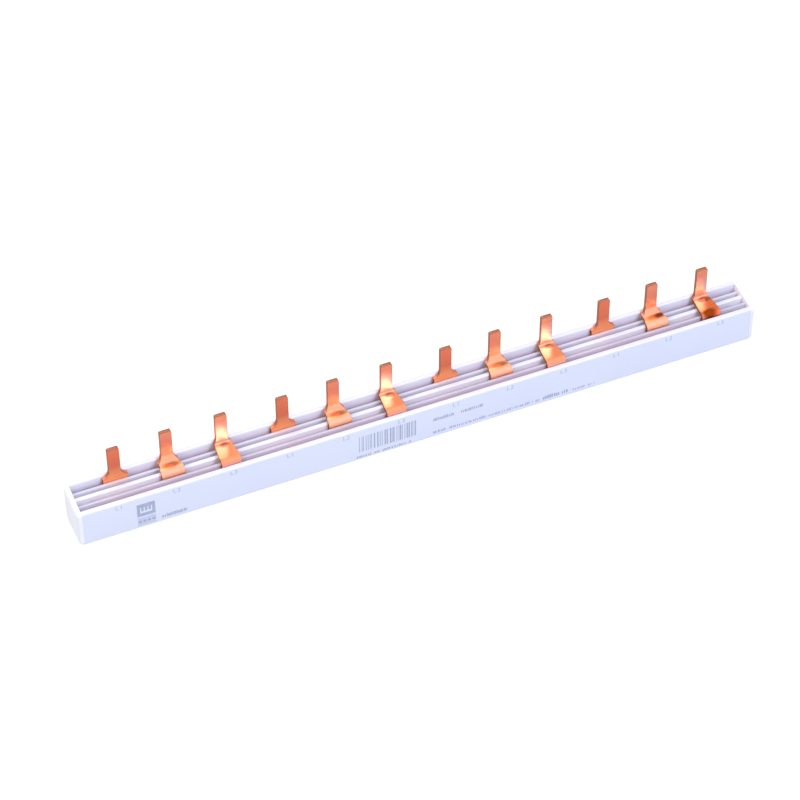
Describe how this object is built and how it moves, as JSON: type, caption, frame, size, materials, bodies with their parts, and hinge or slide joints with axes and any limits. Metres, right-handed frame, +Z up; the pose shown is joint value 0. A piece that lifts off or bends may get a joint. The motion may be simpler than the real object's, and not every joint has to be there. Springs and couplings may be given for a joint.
{
  "type": "comb busbar",
  "caption": "Comb busbar: a white plastic trough holding copper combs, with a row of flat pins that link breakers side by side.",
  "frame": {"origin": "middle of the underside: on its bottom plane, midway between the end caps and between front and back", "axes": "+X along the bar, -Y is the front face, +Z up, the way the pins point"},
  "size_m": [0.2238, 0.0132, 0.0258],
  "materials": {
    "trough_plastic": "smooth satin, very pale blue-grey white",
    "separator_plastic": "thin translucent white strip, satin",
    "cap_plastic": "moulded, fine satin, warm white",
    "copper": "bare rolled copper, satin, clean"
  },
  "bodies": {
    "root": {"trough_housing": "trough_plastic", "comb_l1": "copper", "comb_l2": "copper", "comb_l3": "copper", "separator_front": "separator_plastic", "separator_back": "separator_plastic", "end_cap_left": "cap_plastic", "end_cap_right": "cap_plastic"}
  },
  "joints": []
}
